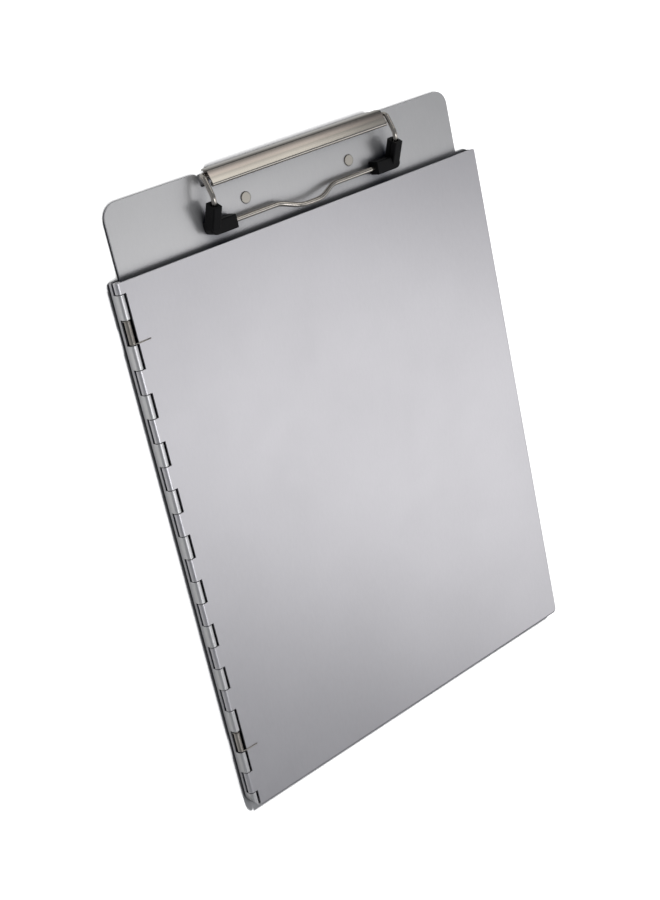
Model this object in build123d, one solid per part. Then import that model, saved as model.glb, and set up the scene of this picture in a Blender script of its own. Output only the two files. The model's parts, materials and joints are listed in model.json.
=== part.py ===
from build123d import *
import os
from math import cos, radians, sin

# Sheet-aluminium clipboard with a spring-hinged privacy cover and a wire bail clip at its head.
# Frame: origin on the underside, below the middle of the outline. +X runs from the hinge to the
# open side, +Y towards the clip, +Z out of the cover. Lengths are millimetres, angles degrees.

# Driving dimensions
SHEET = 1.0              # aluminium sheet of the back plate and of the cover
WIDTH = 246.4            # hinge side to open side
LENGTH = 332.4           # foot of the plate to the back of the clip's hood
THICKNESS = 7.4          # plate, paper space and cover, closed
COVER_LENGTH = 294.9
BEND = 1.5               # outside radius of the sheet bends
REST_GAP = 0.3           # air under the cover's edges and the clip's grips when closed

# Piano hinge along the left side
KNUCKLE_PITCH = 12.7
KNUCKLE_GAP = 0.4
BORE_RADIUS = 1.0
PIN_RADIUS = 0.95
PIN_INSET_FOOT = 5.0     # the pin's ends stop this far inside the foot and the cover's top
PIN_INSET_TOP = 0.4
SLOT = 0.45              # air between the plate's knuckles and the cover's notched edge
WALL_NOTCH = 0.4         # air between the cover's knuckles and the notched wall below them
CURL_GAP = 62            # degrees left open where a knuckle's curl ends
FIRST_KNUCKLE = 5.7      # stub of the cover's top knuckle
SEGMENTS = "PSP" + "CP" * 8 + "SPC"     # from the top: P plate knuckle, C cover knuckle, S spring
HINGE_WIRE = 0.6
HINGE_COIL = 2.7         # mean diameter of the hinge springs
HINGE_LEG = 7.0          # reach of a hinge spring's leg over the cover
HINGE_LEG_LIFT = 0.02    # air between a leg and the sheet it presses on

# Head of the back plate
SHOULDER = 0.2           # plate showing past the cover's top edge
PLATE_CORNER = 8.0
SMALL_CORNER = 3.0
TAB_LEFT = -116.7
TAB_RIGHT = 113.0
TAB_CORNER = 8.0
TAB_TOP = 164.7
TAB_SLIT = 0.8           # relief slits that let the tab step forward between the shoulders
JOGGLE = 0.8             # the tab is stepped forward so that the clip's plate lies flush behind it
JOGGLE_RUN = 2.5
JOGGLE_COVERED = 6.0     # the step starts this far under the cover

# Clip sheet: flat behind the tab, up the back, then a slanted hood with a rolled front hem
CLIP_X = 0.6
CLIP_SHEET = 0.7
HOOD_LENGTH = 117.4
HOOD_SLANT = 27.3        # rise of the hood towards the front
HOOD_BEND = 2.2          # outside radius of the bend at the hood's back
HEM_Y = 158.8
HEM_Z = 9.8
HEM_RADIUS = 1.3
HEM_CURL = 250
HOOD_END_INSET = 4.0     # the sheet is narrower than the hood below this height
HOOD_END_Z = 3.5
CLIP_PLATE_LOW = 134.0
CLIP_PLATE_GAP = 0.1     # the rivets' tails fill this, flush with the underside
CLIP_PLATE_CORNER = 5.0
BEARING_PLACES = (20.0, 52.0)           # walls inside the hood that carry the bail's journals
BEARING_FRONT = 161.3
BEARING_CLEARANCE = 0.05
NOTCH_MARGIN = 1.4       # air beside the hood's ends
NOTCH_FLOOR = 157.4
NOTCH_CORNER = 1.5
NOTCH_TONGUE = 2.6       # the tab reaches this far up inside the notch, below the hood
NOTCH_FLARE = 3.5

# Rivets
RIVET_SPACING = 70.4
RIVET_Y = 145.4
RIVET_RADIUS = 3.0
RIVET_HEAD = 0.6
RIVET_EDGE = 0.25
RIVET_SEAT = 0.15        # the head stands this far off the tab, on a slightly smaller seat
RIVET_TAIL = 2.25

# Bail: wire loop that swings on its two journals inside the hood
WIRE_RADIUS = 1.3
BAIL_HALF_WIDTH = 61.5
PIVOT_Y = 163.3
PIVOT_Z = 5.8
JOURNAL_END = 12.0
SHOULDER_RISE = (162.6, 8.4)            # Y and Z where the leg leaves the pivot's upright stub
LEG_CREST = (152.2, 12.9)
BAIL_Y = 137.4
DIP_HALF_TOP = 18.3
DIP_HALF_FLOOR = 7.0
DIP_DROP = 4.1
DIP_LIFT = 3.5
GRIP_BEND = 3.6          # bend of the wire inside a grip
WIRE_BENDS = (1.7, 1.9, 6.0, GRIP_BEND, 12.0, 20.0)     # from the journal round to the dip's floor
BAIL_SPRING_WIRE = 0.7
BAIL_SPRING_COIL = 3.4   # mean diameter
BAIL_SPRING_LENGTH = 24.0
BAIL_SPRING_NEAR = 24.0  # its inner end, from the middle of the clip
BAIL_SPRING_LEG = 4.6
SPRING_LEG_INSET = 0.04  # a leg starts this far inside its coil's outline

# Rubber grips on the bail's corners
GRIP_SIDE = 7.0
GRIP_ARM = 5.4           # width of the arm, along the hinge-to-open direction
GRIP_EDGE = 0.8
GRIP_CORNER = 3.5
GRIP_SLIT = 0.6          # slit in the arm's inner side, through which it is pushed over the wire
GRIP_MOUTH = 0.6         # the bore opens out by this much at the arm's end
GRIP_MOUTH_DEPTH = 1.6
GRIP_LEG = 13.2
GRIP_FOOT = 13.2

# Derived places
LEFT, RIGHT = -WIDTH / 2, WIDTH / 2
FOOT, HEAD = -LENGTH / 2, LENGTH / 2
COVER_TOP = FOOT + COVER_LENGTH
HINGE_TOP = COVER_TOP - FIRST_KNUCKLE
HINGE_END = HINGE_TOP - len(SEGMENTS) * KNUCKLE_PITCH
KNUCKLE_RADIUS = BORE_RADIUS + SHEET
HINGE_X = LEFT + KNUCKLE_RADIUS
HINGE_Z = THICKNESS - KNUCKLE_RADIUS
COVER_EDGE = HINGE_X + KNUCKLE_RADIUS + SLOT
WALL_TOP = HINGE_Z - KNUCKLE_RADIUS - WALL_NOTCH
SHOULDER_Y = COVER_TOP + SHOULDER
STEP_Y = COVER_TOP - JOGGLE_COVERED
TAB_FACE = SHEET + JOGGLE
BAIL_Z = TAB_FACE + REST_GAP + GRIP_SIDE / 2
HOOD_BACK = HEAD - CLIP_SHEET / 2       # middle line of the hood's back wall
TONGUE_HALF = HOOD_LENGTH / 2 - HOOD_END_INSET


def lay(section, low, high):
    """Solid of a section drawn in X and Z, from y = low to y = high."""
    return extrude(Plane.XZ.offset(-high) * section, amount=high - low)


def rectangle(x0, y0, x1, y1):
    return Pos((x0 + x1) / 2, (y0 + y1) / 2) * Rectangle(x1 - x0, y1 - y0)


def polar(radius, angle):
    return (radius * cos(radians(angle)), radius * sin(radians(angle)))


def spans(kind):
    """The (low, high) stretches of hinge held by one kind of segment."""
    tops = [HINGE_TOP - i * KNUCKLE_PITCH for i, s in enumerate(SEGMENTS) if s == kind]
    trim = KNUCKLE_GAP / 2
    stretches = [(y - KNUCKLE_PITCH + trim, y - trim) for y in tops]
    if kind == "C":
        stretches.append((HINGE_TOP + trim, COVER_TOP))
    if kind == "P":
        stretches.append((FOOT, HINGE_END - trim))
    return stretches


def knuckle_section(start, turn, tail):
    """Sheet that arrives tangent at angle start and curls round the pin, turn +1 anticlockwise."""
    wedge = [(0, 0)] + [polar(2 * KNUCKLE_RADIUS, start - turn * CURL_GAP * k / 2) for k in range(3)]
    curl = Circle(KNUCKLE_RADIUS) - Circle(BORE_RADIUS) - Polygon(*wedge, align=None)
    out_x, out_z = polar(KNUCKLE_RADIUS - SHEET / 2, start)
    back_x, back_z = polar(tail / 2, start - turn * 90)
    straight = Pos(out_x + back_x, out_z + back_z) * Rot(0, 0, start) * Rectangle(SHEET, tail)
    return Pos(HINGE_X, HINGE_Z) * (curl + straight)


def plan_outline():
    """Outline of the back plate seen from above: body with shoulders, tab, and the clip's notch."""
    body = Polyline(
        (LEFT, SHOULDER_Y), (LEFT, FOOT), (RIGHT, FOOT), (RIGHT, SHOULDER_Y),
        (TAB_RIGHT, SHOULDER_Y), (TAB_RIGHT, TAB_TOP),
        (TAB_LEFT, TAB_TOP), (TAB_LEFT, SHOULDER_Y), close=True,
    )
    face = make_face(body)
    radii = {
        (LEFT, FOOT): PLATE_CORNER, (RIGHT, FOOT): SMALL_CORNER, (RIGHT, SHOULDER_Y): SMALL_CORNER,
        (TAB_LEFT, TAB_TOP): TAB_CORNER, (TAB_RIGHT, TAB_TOP): TAB_CORNER,
    }
    for (x, y), radius in radii.items():
        corner = face.vertices().sort_by_distance((x, y, 0))[0]
        face = fillet(corner, radius)
    return face - clip_notch()


def clip_notch():
    """Cut in the tab's top edge that clears the clip's hood and the legs of the bail."""
    half = HOOD_LENGTH / 2 + NOTCH_MARGIN
    notch = rectangle(CLIP_X - half, NOTCH_FLOOR, CLIP_X + half, HEAD)
    notch = fillet(notch.vertices().group_by(Axis.Y)[0], NOTCH_CORNER)
    tongue = rectangle(
        CLIP_X - TONGUE_HALF, NOTCH_FLOOR - 1, CLIP_X + TONGUE_HALF, NOTCH_FLOOR + NOTCH_TONGUE,
    )
    low = TAB_TOP - NOTCH_FLARE
    mouth = Sketch()
    for side in (-1, 1):
        x = CLIP_X + side * half
        far = x + side * NOTCH_FLARE
        square = rectangle(min(x, far), low, max(x, far), TAB_TOP)
        mouth += square - Pos(far, low) * Circle(NOTCH_FLARE)
    return notch - tongue + mouth


def stepped_tab():
    """The tab, raised by the joggle from a step hidden under the cover."""
    step_end = STEP_Y + JOGGLE_RUN
    side = Polygon(
        (STEP_Y - SHEET, 0), (STEP_Y, 0), (step_end, JOGGLE), (TAB_TOP, JOGGLE),
        (TAB_TOP, TAB_FACE), (step_end, TAB_FACE), (STEP_Y, SHEET), (STEP_Y - SHEET, SHEET),
        align=None,
    )
    return extrude(Plane.YZ.offset(TAB_LEFT) * side, amount=TAB_RIGHT - TAB_LEFT)


def back_plate():
    """Base sheet: floor, left wall, curled hinge knuckles, shoulders and the stepped tab."""
    elbow = Circle(BEND) - Circle(BEND - SHEET)
    elbow = Pos(LEFT + BEND, BEND) * (elbow & rectangle(-BEND, -BEND, 0, 0))
    floor = rectangle(LEFT + BEND, 0, RIGHT, SHEET)
    wall = rectangle(LEFT, BEND, LEFT + SHEET, WALL_TOP)
    plate = lay(floor + elbow + wall, FOOT, SHOULDER_Y)
    knuckle = knuckle_section(180, -1, HINGE_Z - BEND)
    for low, high in spans("P"):
        plate += lay(knuckle, low, high)
    opening = rectangle(TAB_LEFT - TAB_SLIT, STEP_Y, TAB_RIGHT + TAB_SLIT, HEAD)
    plate -= extrude(opening, amount=SHEET)
    plate = (plate + stepped_tab()) & extrude(plan_outline(), amount=THICKNESS)
    return plate - rivet_holes()


def pan(inset):
    """Block under the cover's top, right and foot walls: outside at inset 0, inside at one sheet."""
    right, foot, roof = RIGHT - inset, FOOT + inset, THICKNESS - inset
    low = SHEET + REST_GAP if inset == 0 else 0
    face = rectangle(COVER_EDGE, foot, right, COVER_TOP)
    face = fillet(face.vertices().sort_by_distance((right, foot, 0))[0], SMALL_CORNER - inset)
    block = extrude(Pos(0, 0, low) * face, amount=roof - low)
    edges = [
        edge for edge in block.faces().sort_by(Axis.Z)[-1].edges()
        if edge.center().X > right - SMALL_CORNER or edge.center().Y < foot + SMALL_CORNER
    ]
    return fillet(edges, BEND - inset)


def privacy_cover():
    """Hinged cover: a shallow pan, open at the hinge and at the top, with its curled knuckles."""
    cover = (pan(0) - pan(SHEET)) & extrude(plan_outline(), amount=THICKNESS)
    ramp = THICKNESS - BEND - SHEET
    relief = Polygon(
        (COVER_TOP + 1, ramp + SHEET), (COVER_TOP + 1, 0), (COVER_TOP - ramp, 0), align=None,
    )
    cover -= extrude(Plane.YZ.offset(RIGHT - 2 * SHEET) * relief, amount=3 * SHEET)
    knuckle = knuckle_section(90, 1, COVER_EDGE - HINGE_X)
    for low, high in spans("C"):
        cover += lay(knuckle, low, high)
    return cover


def hinge_pin():
    """Steel rod through every knuckle, its ends just inside the first and the last."""
    low, high = FOOT + PIN_INSET_FOOT, COVER_TOP - PIN_INSET_TOP
    pin = Pos(HINGE_X, (low + high) / 2, HINGE_Z) * Rot(90, 0, 0) * Cylinder(PIN_RADIUS, high - low)
    return chamfer(pin.edges(), PIN_RADIUS / 4)


def coil(wire, mean, length):
    """Close-wound body of a torsion spring, along +Z from the origin."""
    turns = int(length / wire)
    inner = mean / 2 - wire / 2
    section = rectangle(inner, 0, mean / 2, turns * wire)
    for turn in range(turns):
        section += Pos(mean / 2, (turn + 0.5) * wire) * Circle(wire / 2)
    section &= rectangle(inner, 0, mean, turns * wire)
    return revolve(Plane.XZ * section, Axis.Z)


def rod(points, radius, bends):
    """Round wire along straight runs joined by arcs of the given radii."""
    path = FilletPolyline(*points, radius=bends) if bends else Line(*points)
    return sweep(Plane(path @ 0, z_dir=path % 0) * Circle(radius), path=path)


def hinge_spring(span):
    """Torsion spring round the pin in one window: one leg on the plate's wall, one on the cover."""
    low, high = span
    wire_radius = HINGE_WIRE / 2
    body = Pos(HINGE_X, low, HINGE_Z) * Rot(-90, 0, 0) * coil(HINGE_WIRE, HINGE_COIL, high - low)
    r = HINGE_COIL / 2
    top = THICKNESS + wire_radius + HINGE_LEG_LIFT
    y = low + wire_radius
    leg = rod(
        [(HINGE_X - r / 3, y, HINGE_Z + r), (COVER_EDGE - wire_radius, y, top),
         (COVER_EDGE + HINGE_LEG, y, top)],
        wire_radius, [HINGE_WIRE],
    )
    y = low + int((high - low) / HINGE_WIRE) * HINGE_WIRE - wire_radius
    rest = WALL_TOP + wire_radius + HINGE_LEG_LIFT
    foot = rod([(HINGE_X + r / 3, y, HINGE_Z - r), (LEFT + wire_radius, y, rest)], wire_radius, [])
    return body + leg + foot


def hood_height(y):
    """Height of the middle of the hood's slanted sheet at a given Y."""
    slope = radians(HOOD_SLANT)
    above_hem = (HEM_RADIUS - CLIP_SHEET / 2) / cos(slope)
    return HEM_Z + above_hem - (y - HEM_Y) * sin(slope) / cos(slope)


def hood_section():
    """Clip sheet in Y and Z: flat behind the tab, up the back, slanting forward, hemmed in front."""
    t = CLIP_SHEET
    low = CLIP_PLATE_GAP + t / 2
    hem = HEM_RADIUS - t / 2
    up = 90 - HOOD_SLANT
    out_y, out_z = polar(hem, up)
    path = FilletPolyline(
        (CLIP_PLATE_LOW, low), (HOOD_BACK, low), (HOOD_BACK, hood_height(HOOD_BACK)),
        (HEM_Y + out_y, HEM_Z + out_z), radius=[BEND - t / 2, HOOD_BEND - t / 2],
    )
    curl = CenterArc((HEM_Y, HEM_Z), hem, up, HEM_CURL)
    return trace(path, t) + trace(curl, t)


def bearing(place):
    """Wall across the hood, folded from its sheet, with the hole that carries a journal."""
    low = CLIP_PLATE_GAP + CLIP_SHEET / 2
    bent = HOOD_BACK - HOOD_BEND
    wall = Polygon(
        (BEARING_FRONT, low), (HOOD_BACK, low), (HOOD_BACK, hood_height(HOOD_BACK) - HOOD_BEND),
        (bent, hood_height(bent)), (BEARING_FRONT, hood_height(BEARING_FRONT)), align=None,
    )
    wall -= Pos(PIVOT_Y, PIVOT_Z) * Circle(WIRE_RADIUS + BEARING_CLEARANCE)
    return extrude(Plane.YZ.offset(place - CLIP_SHEET / 2) * wall, amount=CLIP_SHEET)


def clip_channel():
    """Nickel-plated clip sheet, riveted behind the tab, with the hood over the bail's journals."""
    half = HOOD_LENGTH / 2
    sheet = extrude(Plane.YZ.offset(CLIP_X - half) * hood_section(), amount=HOOD_LENGTH)
    for side in (-1, 1):
        x = CLIP_X + side * (TONGUE_HALF + HOOD_END_INSET)
        end = Pos(x, CLIP_PLATE_LOW, 0) * Box(
            2 * HOOD_END_INSET, 4 * (HEAD - CLIP_PLATE_LOW), 2 * HOOD_END_Z,
        )
        sheet -= end
    sheet = fillet(sheet.edges().filter_by(Axis.Z).group_by(Axis.Y)[0], CLIP_PLATE_CORNER)
    for place in BEARING_PLACES:
        sheet += bearing(CLIP_X - place) + bearing(CLIP_X + place)
    return sheet - rivet_holes()


def rivet_places():
    return [(CLIP_X + side * RIVET_SPACING / 2, RIVET_Y) for side in (-1, 1)]


def rivet_holes():
    holes = Part()
    for x, y in rivet_places():
        holes += Pos(x, y, TAB_FACE / 2) * Cylinder(RIVET_RADIUS / 2, 2 * TAB_FACE)
    return holes


def rivet(x, y):
    """Flat-headed rivet: head on the tab, shank through tab and clip sheet, tail set flush."""
    thickness = RIVET_HEAD - RIVET_SEAT
    head = Pos(x, y, TAB_FACE + RIVET_SEAT + thickness / 2) * Cylinder(RIVET_RADIUS, thickness)
    head = fillet(head.edges().group_by(Axis.Z)[-1], RIVET_EDGE)
    seat = Pos(x, y, TAB_FACE + RIVET_SEAT / 2) * Cylinder(RIVET_RADIUS - RIVET_EDGE, RIVET_SEAT)
    grip_length = TAB_FACE - CLIP_PLATE_GAP
    shank = Pos(x, y, CLIP_PLATE_GAP + grip_length / 2) * Cylinder(RIVET_RADIUS / 2, grip_length)
    tail = Pos(x, y, CLIP_PLATE_GAP / 2) * Cylinder(RIVET_TAIL, CLIP_PLATE_GAP)
    return head + seat + shank + tail


def bail_points():
    """Corners of the bail wire, from its left end inside the hood round to its right end."""
    x = -BAIL_HALF_WIDTH
    left = [
        (-JOURNAL_END, PIVOT_Y, PIVOT_Z), (x, PIVOT_Y, PIVOT_Z),
        (x, *SHOULDER_RISE), (x, *LEG_CREST), (x, BAIL_Y, BAIL_Z),
        (-DIP_HALF_TOP, BAIL_Y, BAIL_Z), (-DIP_HALF_FLOOR, BAIL_Y - DIP_DROP, BAIL_Z + DIP_LIFT),
    ]
    right = [(-x, y, z) for x, y, z in reversed(left)]
    return [Vector(CLIP_X + x, y, z) for x, y, z in left + right]


def wire_bail():
    """Spring-wire loop: two journals in the hood, two legs, and a bar with a finger lift."""
    return rod(bail_points(), WIRE_RADIUS, list(WIRE_BENDS + WIRE_BENDS[::-1]))


def bail_spring(side):
    """Torsion spring inside the hood, round one journal, its legs down to the clip sheet."""
    near, length = BAIL_SPRING_NEAR, BAIL_SPRING_LENGTH
    wire_radius = BAIL_SPRING_WIRE / 2
    start = Pos(CLIP_X + side * near, PIVOT_Y, PIVOT_Z) * Rot(0, side * 90, 0)
    body = start * coil(BAIL_SPRING_WIRE, BAIL_SPRING_COIL, length)
    turns_length = int(length / BAIL_SPRING_WIRE) * BAIL_SPRING_WIRE
    for place, turn in ((near + wire_radius, 1), (near + turns_length - wire_radius, -1)):
        x = CLIP_X + side * place
        y = PIVOT_Y + turn * (BAIL_SPRING_COIL / 2 - SPRING_LEG_INSET)
        ends = [(x, y, PIVOT_Z), (x, y, PIVOT_Z - BAIL_SPRING_LEG)]
        body += rod(ends, wire_radius - SPRING_LEG_INSET, [])
    return body


def left_grip(wire):
    """Rubber L on the bail's left corner: a foot along the bar, a slit arm up the leg."""
    corner = Vector(CLIP_X - BAIL_HALF_WIDTH, BAIL_Y, BAIL_Z)
    up = (Vector(corner.X, *LEG_CREST) - corner).normalized()
    leg = Plane(corner, x_dir=(1, 0, 0), z_dir=up)
    arm = extrude(leg * RectangleRounded(GRIP_ARM, GRIP_SIDE, GRIP_EDGE), amount=GRIP_LEG)
    slit = extrude(leg * Pos(GRIP_ARM, 0) * Rectangle(2 * GRIP_ARM, GRIP_SLIT), amount=2 * GRIP_LEG)
    mouth = extrude(leg.offset(GRIP_LEG) * Circle(WIRE_RADIUS + GRIP_MOUTH), amount=-GRIP_MOUTH_DEPTH)
    section = RectangleRounded(GRIP_SIDE, GRIP_SIDE, GRIP_EDGE)
    start = Plane((corner.X - GRIP_ARM / 2, BAIL_Y, BAIL_Z), x_dir=(0, 1, 0), z_dir=(1, 0, 0))
    foot = extrude(start * section, amount=GRIP_ARM / 2 + GRIP_FOOT)
    near_x, front = corner.X - GRIP_ARM / 2, BAIL_Y - GRIP_SIDE / 2
    plan = rectangle(near_x, front, corner.X + GRIP_FOOT + GRIP_SIDE, BAIL_Y + GRIP_SIDE)
    plan = fillet(plan.vertices().sort_by_distance((near_x, front, 0))[0], GRIP_CORNER)
    foot &= extrude(plan, amount=BAIL_Z + GRIP_SIDE)
    return foot + (arm - slit - mouth) - wire


def main():
    upper, lower = spans("S")
    bail = wire_bail()
    parts = {
        "back_plate": back_plate(),
        "privacy_cover": privacy_cover(),
        "hinge_pin": hinge_pin(),
        "hinge_spring_upper": hinge_spring(upper),
        "hinge_spring_lower": hinge_spring(lower),
        "clip_channel": clip_channel(),
        "wire_bail": bail,
        "corner_grip_left": left_grip(bail),
        "corner_grip_right": mirror(left_grip(bail), about=Plane.YZ.offset(CLIP_X)),
        "bail_spring_left": bail_spring(-1),
        "bail_spring_right": bail_spring(1),
    }
    for name, (x, y) in zip(("left", "right"), rivet_places()):
        parts[f"clip_rivet_{name}"] = rivet(x, y)
    os.makedirs("parts", exist_ok=True)
    for node, part in parts.items():
        part.label = node
        export_step(part, f"parts/{node}.step")
        box = part.bounding_box()
        print(node, len(part.solids()), round(part.volume, 1), box.min, box.max)


main()
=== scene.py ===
import json
from math import cos, radians, sin, tau

import bmesh
import bpy
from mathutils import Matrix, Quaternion, Vector


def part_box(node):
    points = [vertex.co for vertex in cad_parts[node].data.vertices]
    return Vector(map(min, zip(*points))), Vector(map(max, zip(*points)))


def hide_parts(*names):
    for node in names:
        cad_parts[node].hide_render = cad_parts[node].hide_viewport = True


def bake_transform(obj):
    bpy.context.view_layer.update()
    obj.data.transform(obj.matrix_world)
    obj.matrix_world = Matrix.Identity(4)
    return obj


# Aluminium clipboard with a privacy cover: the looks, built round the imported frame. Metres.

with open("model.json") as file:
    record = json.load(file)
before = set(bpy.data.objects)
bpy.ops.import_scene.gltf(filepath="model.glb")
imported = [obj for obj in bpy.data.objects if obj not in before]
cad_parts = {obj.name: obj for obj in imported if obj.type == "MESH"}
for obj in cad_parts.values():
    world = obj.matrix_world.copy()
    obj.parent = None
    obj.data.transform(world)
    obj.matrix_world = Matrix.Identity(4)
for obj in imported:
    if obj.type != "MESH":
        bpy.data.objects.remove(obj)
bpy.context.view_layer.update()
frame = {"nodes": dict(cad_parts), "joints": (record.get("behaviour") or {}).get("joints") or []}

MM = 0.001
joints = {joint["name"]: joint for joint in frame["joints"]}
HINGE = Vector(joints["cover_hinge"]["pos_m"])
PIVOT = Vector(joints["bail_pivot"]["pos_m"])

# ---------------------------------------------------------------- camera, floor and light

CAMERA_PLACE = Vector((-476.93, 277.38, 622.38)) * MM
CAMERA_AIM = Vector((-21.98, 2.9, 7.4)) * MM
CAMERA_ROLL = radians(101.834)
CAMERA_LENS = 60.66
FLOOR_HALF = 4               # the floor is a square, this far each way
FLOOR_DROP = 0.2 * MM        # below the board's underside, so that the two do not flicker
FLOOR_PAINTED_SHADE = 6 * MM         # reach of the painted soft shadow close beside the board


def make_camera():
    """Camera at the photograph's viewing angle, turned about its own line of sight."""
    data = bpy.data.cameras.new("camera")
    data.lens = CAMERA_LENS
    data.clip_start = 0.01
    data.clip_end = 50
    camera = bpy.data.objects.new("camera", data)
    turn = (CAMERA_AIM - CAMERA_PLACE).to_track_quat("-Z", "Y")
    camera.rotation_mode = "QUATERNION"
    camera.rotation_quaternion = turn @ Quaternion((0, 0, 1), CAMERA_ROLL)
    camera.location = CAMERA_PLACE
    bpy.context.scene.collection.objects.link(camera)
    bpy.context.scene.camera = camera


def make_light(name, azimuth, elevation, distance, width, height, power, colour, receivers):
    """Soft box aimed at the middle of the board, turned in azimuth from +X towards +Y.

    Angles are in degrees, lengths in metres and power in watts.
    """
    a, e = radians(azimuth), radians(elevation)
    data = bpy.data.lights.new(name, "AREA")
    data.shape = "RECTANGLE"
    data.size = width
    data.size_y = height
    data.energy = power
    data.color = colour
    light = bpy.data.objects.new(name, data)
    light.location = Vector((cos(a) * cos(e), sin(a) * cos(e), sin(e))) * distance
    light.rotation_mode = "QUATERNION"
    light.rotation_quaternion = (-light.location).to_track_quat("-Z", "Y")
    light.light_linking.receiver_collection = receivers
    bpy.context.scene.collection.objects.link(light)


def receiver_group(name, floor, state):
    """Collection that limits a light to the floor, or keeps the light off it."""
    group = bpy.data.collections.new(name)
    group.objects.link(floor)
    group.collection_objects[0].light_linking.link_state = state
    return group


def make_surround():
    """Dim studio above the horizon. Below it the metal sees a sweep, bright behind, dark in front."""
    world = bpy.data.worlds.new("studio")
    bpy.context.scene.world = world
    world.use_nodes = True
    tree = world.node_tree
    place = add_node(tree, "ShaderNodeTexCoord")
    parts = add_node(tree, "ShaderNodeSeparateXYZ")
    tree.links.new(place.outputs["Generated"], parts.inputs["Vector"])
    below = remap(tree, parts.outputs["Z"], -0.05, 0.10, 1.0, 0.0)
    sweep = remap(tree, parts.outputs["Y"], -0.75, -0.30, 0.02, 0.55)
    tone = mix(tree, "MIX", below, (0.235, 0.24, 0.25, 1), sweep)
    tree.links.new(tone, tree.nodes["Background"].inputs["Color"])


def make_floor():
    """Plain pale floor, left out of the metal's reflections, with a painted contact shadow close beside
    the board.
    """
    mesh = bpy.data.meshes.new("floor")
    form = bmesh.new()
    bmesh.ops.create_grid(form, x_segments=2, y_segments=2, size=FLOOR_HALF)
    form.to_mesh(mesh)
    form.free()
    floor = bpy.data.objects.new("floor", mesh)
    floor.location.z = -FLOOR_DROP
    material, shader, _ = new_material("floor_paper", 0.0, 0.9)
    shader.inputs["Base Color"].default_value = (0.93, 0.93, 0.93, 1)
    shader.inputs["Specular IOR Level"].default_value = 0.0
    # Painted contact shadow: the floor's colour darkens close beside the board.
    paint_occlusion_shade(material, FLOOR_PAINTED_SHADE, 0.40, 0.80, (0.05, 0.05, 0.055, 1))
    mesh.materials.append(material)
    bpy.context.scene.collection.objects.link(floor)
    floor.visible_glossy = False
    return floor


def make_lights(floor):
    """Four soft boxes for the board and one for the floor, each kept off the other."""
    board_only = receiver_group("board_only", floor, "EXCLUDE")
    floor_only = receiver_group("floor_only", floor, "INCLUDE")
    make_light("key", -28, 48, 1.6, 0.68, 1.0, 2.5, (1.0, 0.985, 0.985), board_only)
    make_light("overhead", -100, 76, 1.7, 0.7, 0.7, 5, (0.985, 0.985, 1.0), board_only)
    make_light("hood_strip", 57, 37, 1.6, 0.6, 0.6, 1.5, (1.0, 0.97, 0.91), board_only)
    make_light("low_fill", -20, 15, 2.0, 1.6, 0.9, 2.4, (1.0, 1.0, 1.0), board_only)
    make_light("floor_light", 80, 52, 3.2, 0.3, 0.3, 165, (1.0, 1.0, 1.0), floor_only)


# ---------------------------------------------------------------- materials

def new_material(name, metallic, roughness):
    material = bpy.data.materials.new(name)
    material.use_nodes = True
    shader = material.node_tree.nodes["Principled BSDF"]
    shader.inputs["Metallic"].default_value = metallic
    shader.inputs["Roughness"].default_value = roughness
    return material, shader, material.node_tree


def add_node(tree, kind, **values):
    """A node with its properties and, for names with a capital, its inputs set."""
    node = tree.nodes.new(kind)
    for name, value in values.items():
        if name[0].isupper():
            node.inputs[name.replace("_", " ")].default_value = value
        else:
            setattr(node, name, value)
    return node


def noise(tree, scale, stretch, detail, roughness):
    """Noise in object space, in features per metre. A stretch below 1 draws them out along an axis."""
    place = add_node(tree, "ShaderNodeTexCoord")
    mapping = add_node(tree, "ShaderNodeMapping")
    mapping.inputs["Scale"].default_value = stretch
    tree.links.new(place.outputs["Object"], mapping.inputs["Vector"])
    node = add_node(tree, "ShaderNodeTexNoise", Scale=scale, Detail=detail, Roughness=roughness)
    tree.links.new(mapping.outputs["Vector"], node.inputs["Vector"])
    return node.outputs["Fac"]


def ramp(tree, value, stops):
    """Colour ramp over (place, colour) stops."""
    node = add_node(tree, "ShaderNodeValToRGB")
    tree.links.new(value, node.inputs["Fac"])
    elements = node.color_ramp.elements
    while len(elements) < len(stops):
        elements.new(0.5)
    for element, (place, colour) in zip(elements, stops):
        element.position = place
        element.color = (*colour, 1)
    return node.outputs["Color"]


def remap(tree, value, low, high, to_low, to_high):
    """Carries the range low to high onto to_low to to_high, held at its ends."""
    node = add_node(tree, "ShaderNodeMapRange", From_Min=low, From_Max=high, To_Min=to_low, To_Max=to_high)
    tree.links.new(value, node.inputs["Value"])
    return node.outputs["Result"]


def mix(tree, kind, factor, first, second):
    """Blends two colours. Each of the last three is a socket or a plain value."""
    node = add_node(tree, "ShaderNodeMix", data_type="RGBA", blend_type=kind)
    for socket, value in ((node.inputs[0], factor), (node.inputs[6], first), (node.inputs[7], second)):
        if isinstance(value, bpy.types.NodeSocket):
            tree.links.new(value, socket)
        else:
            socket.default_value = value
    return node.outputs[2]


def edge_mask(tree, radius):
    """1 along convex and concave edges, 0 on flats, from how far a rounded normal turns away."""
    bevel = add_node(tree, "ShaderNodeBevel", samples=4, Radius=radius)
    geometry = add_node(tree, "ShaderNodeNewGeometry")
    dot = add_node(tree, "ShaderNodeVectorMath", operation="DOT_PRODUCT")
    tree.links.new(bevel.outputs["Normal"], dot.inputs[0])
    tree.links.new(geometry.outputs["Normal"], dot.inputs[1])
    return remap(tree, dot.outputs["Value"], 0.999, 0.90, 0.0, 1.0)


def bump(tree, shader, height, distance, strength, radius=None):
    """Fine relief from a height, over edges rounded to a radius if one is given."""
    node = add_node(tree, "ShaderNodeBump", Distance=distance, Strength=strength)
    tree.links.new(height, node.inputs["Height"])
    if radius:
        bevel = add_node(tree, "ShaderNodeBevel", samples=4, Radius=radius)
        tree.links.new(bevel.outputs["Normal"], node.inputs["Normal"])
    tree.links.new(node.outputs["Normal"], shader.inputs["Normal"])


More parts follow.
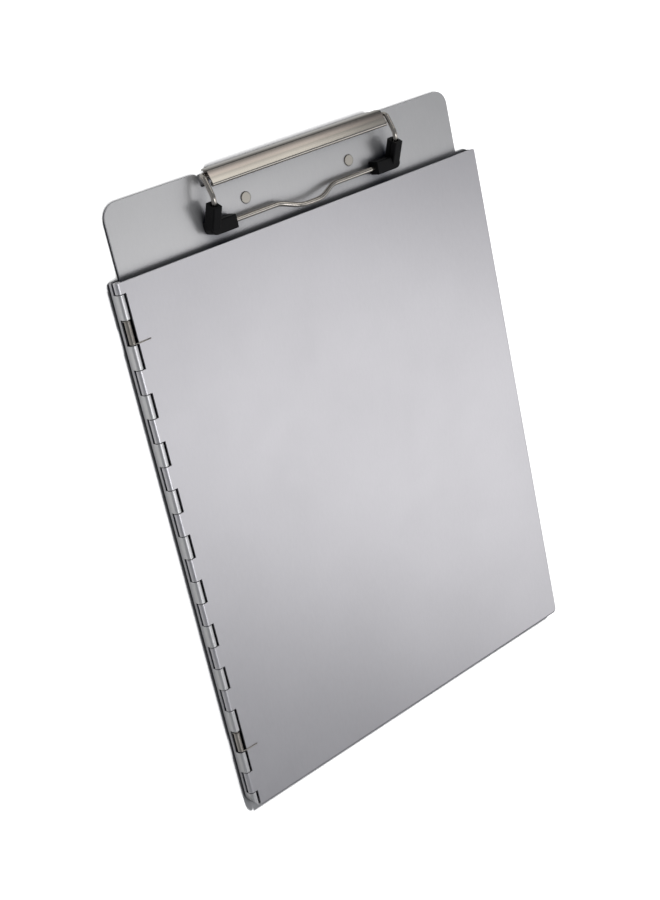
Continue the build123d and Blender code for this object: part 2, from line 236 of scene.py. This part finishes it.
def scaled(tree, value, share):
    node = add_node(tree, "ShaderNodeMath", operation="MULTIPLY")
    tree.links.new(value, node.inputs[0])
    node.inputs[1].default_value = share
    return node.outputs["Value"]


def total(tree, first, second):
    node = add_node(tree, "ShaderNodeMath", operation="ADD")
    tree.links.new(first, node.inputs[0])
    tree.links.new(second, node.inputs[1])
    return node.outputs["Value"]


GRAIN_SCALE = 900            # features per metre
CLOUD_SCALE = 14
HANDLED_SCALE = 45
ROUGH_SWING = 0.02           # roughness varies this much with the grain, and again where handled
EDGE_ROUND = 0.2 * MM


def metal(name, colour, roughness, grain, spread, rim_share, bump_height, metallic=1.0,
          rim=1.15, rim_width=0.25 * MM):
    """Plated or bare metal: stretched grain, cloudy tone, handled patches, edges of another tone. A rim
    below 1 paints a dark shade ring along the edges.
    """
    material, shader, tree = new_material(name, metallic, roughness)
    fine = noise(tree, GRAIN_SCALE, grain, 4.0, 0.6)
    cloud = noise(tree, CLOUD_SCALE, (1, 1, 1), 3.0, 0.5)
    handled = noise(tree, HANDLED_SCALE, (1, 1, 1), 5.0, 0.65)
    dark = tuple(c * (1 - spread) for c in colour)
    light = tuple(min(1.0, c * (1 + spread)) for c in colour)
    tone = ramp(tree, cloud, [(0.35, dark), (0.65, light)])
    streak = ramp(tree, fine, [(0.3, (0.97,) * 3), (0.7, (1.0,) * 3)])
    tone = mix(tree, "MULTIPLY", 1.0, tone, streak)
    edge = edge_mask(tree, rim_width)
    # Lighter edges where rim is above 1; a painted dark shade ring where it is below.
    rim_tone_and_painted_shade = tuple(min(1.0, c * rim) for c in colour)
    tone = mix(tree, "MIX", scaled(tree, edge, rim_share), tone, (*rim_tone_and_painted_shade, 1))
    tree.links.new(tone, shader.inputs["Base Color"])
    rough = remap(tree, fine, 0.25, 0.75, roughness - ROUGH_SWING, roughness + ROUGH_SWING)
    patch = remap(tree, handled, 0.45, 0.75, 0.0, ROUGH_SWING)
    tree.links.new(total(tree, rough, patch), shader.inputs["Roughness"])
    bump(tree, shader, fine, bump_height, 0.6, EDGE_ROUND)
    return material


def paint_hood_reflection_bands(material, back, depth):
    """Paints reflection bands into the hood's colour: painted shade over the bend at its back and painted
    light and dark bands along its slope.
    """
    tree = material.node_tree
    shader = tree.nodes["Principled BSDF"]
    tone = shader.inputs["Base Color"].links[0].from_socket
    place = add_node(tree, "ShaderNodeTexCoord")
    parts = add_node(tree, "ShaderNodeSeparateXYZ")
    tree.links.new(place.outputs["Object"], parts.inputs["Vector"])
    share = remap(tree, parts.outputs["Y"], back - depth, back, 0.0, 1.0)
    # Painted reflection bands across the slope, with a dark band of painted shade near the back bend.
    bands = ramp(tree, share, [
        (0.0, (1.0,) * 3), (0.35, (0.96,) * 3), (0.50, (0.72,) * 3), (0.58, (0.84, 0.80, 0.80)),
        (0.66, (0.78, 0.74, 0.75)), (0.84, (0.32, 0.31, 0.32)), (0.92, (0.60,) * 3), (1.0, (1.0,) * 3),
    ])
    tree.links.new(mix(tree, "MULTIPLY", 1.0, tone, bands), shader.inputs["Base Color"])


def paint_occlusion_shade(material, reach, shut, clear, colour):
    """Painted shade: darkens the base colour by ambient occlusion where other parts stand or hang close;
    shut and clear are shares of open sky.
    """
    tree = material.node_tree
    shader = tree.nodes["Principled BSDF"]
    links = shader.inputs["Base Color"].links
    tone = links[0].from_socket if links else tuple(shader.inputs["Base Color"].default_value)
    # Painted shade: the nearer other geometry, the darker the colour.
    near = add_node(tree, "ShaderNodeAmbientOcclusion", samples=8, Distance=reach)
    painted_shade_share = remap(tree, near.outputs["AO"], shut, clear, 1.0, 0.0)
    tree.links.new(mix(tree, "MULTIPLY", painted_shade_share, tone, colour), shader.inputs["Base Color"])


def rubber(name):
    """Matt black moulded rubber: faint orange peel, with dusty patches that are rougher."""
    material, shader, tree = new_material(name, 0.0, 0.55)
    shader.inputs["Specular IOR Level"].default_value = 0.18
    peel = noise(tree, 2600, (1, 1, 1), 3.0, 0.5)
    dust = noise(tree, 160, (1, 1, 1), 4.0, 0.6)
    tone = ramp(tree, dust, [(0.4, (0.002, 0.002, 0.0025)), (0.72, (0.008, 0.008, 0.009))])
    tree.links.new(tone, shader.inputs["Base Color"])
    tree.links.new(remap(tree, dust, 0.3, 0.7, 0.44, 0.62), shader.inputs["Roughness"])
    bump(tree, shader, peel, 0.03 * MM, 0.5)
    return material


# ---------------------------------------------------------------- mesh helpers

ARC_STEP = radians(7)        # turn from one point of a rounded corner to the next
NUB_LENGTH = 0.45            # a wire's rounded end, as a share of its radius
TIP_RADIUS = 0.55            # and the radius it ends in


def new_piece(name, form, slot, material, *nodes):
    """Finishes a bmesh as a smooth piece that stands for CAD nodes."""
    mesh = bpy.data.meshes.new(name)
    bmesh.ops.recalc_face_normals(form, faces=form.faces)
    for face in form.faces:
        face.smooth = True
    form.to_mesh(mesh)
    form.free()
    mesh.materials.append(material)
    piece = bpy.data.objects.new(name, mesh)
    bpy.context.scene.collection.objects.link(piece)
    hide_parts(*nodes)
    return piece


def round_corners(points, radii):
    """A polyline with each inner corner replaced by an arc of its radius."""
    path = [points[0]]
    for before, corner, after, radius in zip(points, points[1:], points[2:], radii):
        u, v = (before - corner).normalized(), (after - corner).normalized()
        half = u.angle(v) / 2
        reach = radius * cos(half) / sin(half)
        centre = corner + (u + v).normalized() * radius / sin(half)
        first, last = corner + u * reach - centre, corner + v * reach - centre
        turn = first.angle(last)
        axis = first.cross(last).normalized()
        steps = max(3, round(turn / ARC_STEP))
        path += [centre + Quaternion(axis, turn * k / steps) @ first for k in range(steps + 1)]
    return path + [points[-1]]


def tube(path, radii, count):
    """A bmesh round tube with closed ends along a path, with a radius at each of its points."""
    form = bmesh.new()
    tangents = []
    for i in range(len(path)):
        before, after = path[max(i - 1, 0)], path[min(i + 1, len(path) - 1)]
        tangents.append((after - before).normalized())
    side = tangents[0].orthogonal().normalized()
    rings = []
    for i, (point, radius) in enumerate(zip(path, radii)):
        if i:
            side = tangents[i - 1].rotation_difference(tangents[i]) @ side
            side = (side - tangents[i] * side.dot(tangents[i])).normalized()
        up = tangents[i].cross(side)
        turns = [tau * k / count for k in range(count)]
        rings.append([form.verts.new(point + (side * cos(a) + up * sin(a)) * radius) for a in turns])
    for first, second in zip(rings, rings[1:]):
        for k in range(count):
            following = (k + 1) % count
            form.faces.new((first[k], first[following], second[following], second[k]))
    form.faces.new(rings[0][::-1])
    form.faces.new(rings[-1])
    return form


def wire_form(path, radius, count):
    """Round wire with slightly rounded ends."""
    nub, tip = NUB_LENGTH * radius, TIP_RADIUS * radius
    first = path[0] + (path[1] - path[0]).normalized() * nub
    final = path[-1] + (path[-2] - path[-1]).normalized() * nub
    inner = [first, *path[1:-1], final]
    return tube([path[0], *inner, path[-1]], [tip, *[radius] * len(inner), tip], count)


# ---------------------------------------------------------------- pieces

HINGE_WIRE = 0.3 * MM        # radius of the wire
HINGE_COIL = 1.35 * MM       # mean radius of the coil
BAIL_WIRE = 0.35 * MM
BAIL_COIL = 1.7 * MM
TURN_STEPS = 28              # points round one turn of a coil
LEG_LIFT = 0.02 * MM         # air between a hinge spring's leg and the cover
LEG_CORNER = 2.15 * MM       # from the pin out to where that leg comes down to the cover
LEG_BEND = 0.8 * MM


def helix(centre, axis, first, second, coil, pitch, turns):
    """Points round an axis, starting at the first direction and turning towards the second."""
    steps = round(turns * TURN_STEPS)
    points = []
    for k in range(steps + 1):
        a = tau * turns * k / steps
        along = axis * pitch * turns * k / steps
        points.append(centre + along + (first * cos(a) + second * sin(a)) * coil)
    return points


def hinge_spring(name, material):
    """Close-wound torsion spring, one leg over the cover and the other down on the plate's wall."""
    low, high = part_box(name)
    cover_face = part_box("privacy_cover")[1].z
    start = low.y + HINGE_WIRE
    turns = int((high.y - low.y) / (2 * HINGE_WIRE)) - 0.75
    top = cover_face + HINGE_WIRE + LEG_LIFT
    centre = Vector((HINGE.x, start, HINGE.z))
    bend = Vector((HINGE.x + LEG_CORNER, start, top))
    legs = [Vector((high.x, start, top)), bend, centre + Vector((0, 0, HINGE_COIL))]
    path = round_corners(legs, [LEG_BEND])[:-1]
    path += helix(centre, Vector((0, 1, 0)), Vector((0, 0, 1)), Vector((-1, 0, 0)),
                  HINGE_COIL, 2 * HINGE_WIRE, turns)
    end = path[-1]
    path.append(Vector((end.x, end.y, low.z + HINGE_WIRE)))
    piece = new_piece(f"{name}_wire", wire_form(path, HINGE_WIRE, 12),
                      "hinge_spring_steel", material, name)
    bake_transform(piece)


def bail_spring(name, side, material):
    """Torsion spring round a journal, with a leg down at each end; on the real clip its inner leg turns
    with the bail, here both legs stay with the board.
    """
    low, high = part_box(name)
    start = low.x if side > 0 else high.x
    turns = int((high.x - low.x) / (2 * BAIL_WIRE)) - 1.5
    centre = Vector((start + side * BAIL_WIRE, PIVOT.y, PIVOT.z))
    path = helix(centre, Vector((side, 0, 0)), Vector((0, 1, 0)), Vector((0, 0, 1)),
                 BAIL_COIL, 2 * BAIL_WIRE, turns)
    first, last = path[0], path[-1]
    path = [Vector((first.x, first.y, low.z + BAIL_WIRE)), *path]
    path.append(Vector((last.x, last.y, low.z + BAIL_WIRE)))
    piece = new_piece(f"{name}_wire", wire_form(path, BAIL_WIRE, 10),
                      "bail_spring_steel", material, name)
    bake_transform(piece)


def paint(material, *names):
    """Gives CAD nodes a material in place of their own."""
    for name in names:
        node = frame["nodes"][name]
        node.data.materials.clear()
        node.data.materials.append(material)


HOOD_DEPTH = 8.7 * MM        # of the clip's hood, from its back to its hem
PLATE_PAINTED_SHADE = 10 * MM        # reach of the painted bluish shade on the plate, under the cover's edge and round the grips


def make_board():
    """Materials for the sheet metal, wire, rubber and rivets, and the wound springs."""
    plate = metal("satin_plate", (0.70, 0.70, 0.705), 0.33, (1, 0.3, 1), 0.02, 0.5, 0.002 * MM, 0.72)
    cover = metal("satin_cover", (0.65, 0.643, 0.668), 0.32, (1, 0.3, 1), 0.02, 0.5, 0.002 * MM, 0.74)
    nickel = metal("nickel_plate", (0.46, 0.435, 0.40), 0.16, (0.03, 1, 1), 0.05, 0.4, 0.012 * MM)
    wire = metal("nickel_wire", (0.50, 0.47, 0.43), 0.2, (1, 1, 1), 0.03, 0.4, 0.002 * MM)
    # Rim 0.22 over 0.8 mm paints a dark shade ring round the rivet heads.
    rivet = metal("rivet_face", (0.60, 0.57, 0.51), 0.34, (1, 1, 1), 0.10, 1.0, 0.012 * MM,
                  rim=0.22, rim_width=0.8 * MM)
    steel = metal("spring_steel", (0.52, 0.49, 0.45), 0.3, (1, 1, 1), 0.06, 0.3, 0.003 * MM)
    # Painted reflection bands and painted shade on the clip's hood.
    paint_hood_reflection_bands(nickel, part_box("clip_channel")[1].y, HOOD_DEPTH)
    # Painted bluish shade on the plate, under the cover's edge and beside the grips and hood.
    paint_occlusion_shade(plate, PLATE_PAINTED_SHADE, 0.28, 0.82, (0.015, 0.022, 0.07, 1))
    black = rubber("black_rubber")
    paint(plate, "back_plate")
    paint(cover, "privacy_cover")
    paint(nickel, "clip_channel")
    paint(wire, "wire_bail")
    paint(rivet, "clip_rivet_left", "clip_rivet_right")
    paint(steel, "hinge_pin")
    paint(black, "corner_grip_left", "corner_grip_right")
    hinge_spring("hinge_spring_upper", steel)
    hinge_spring("hinge_spring_lower", steel)
    bail_spring("bail_spring_left", -1, steel)
    bail_spring("bail_spring_right", 1, steel)


bpy.context.scene.view_settings.view_transform = "Standard"
make_camera()
stage_floor = make_floor()
make_surround()
make_lights(stage_floor)
make_board()
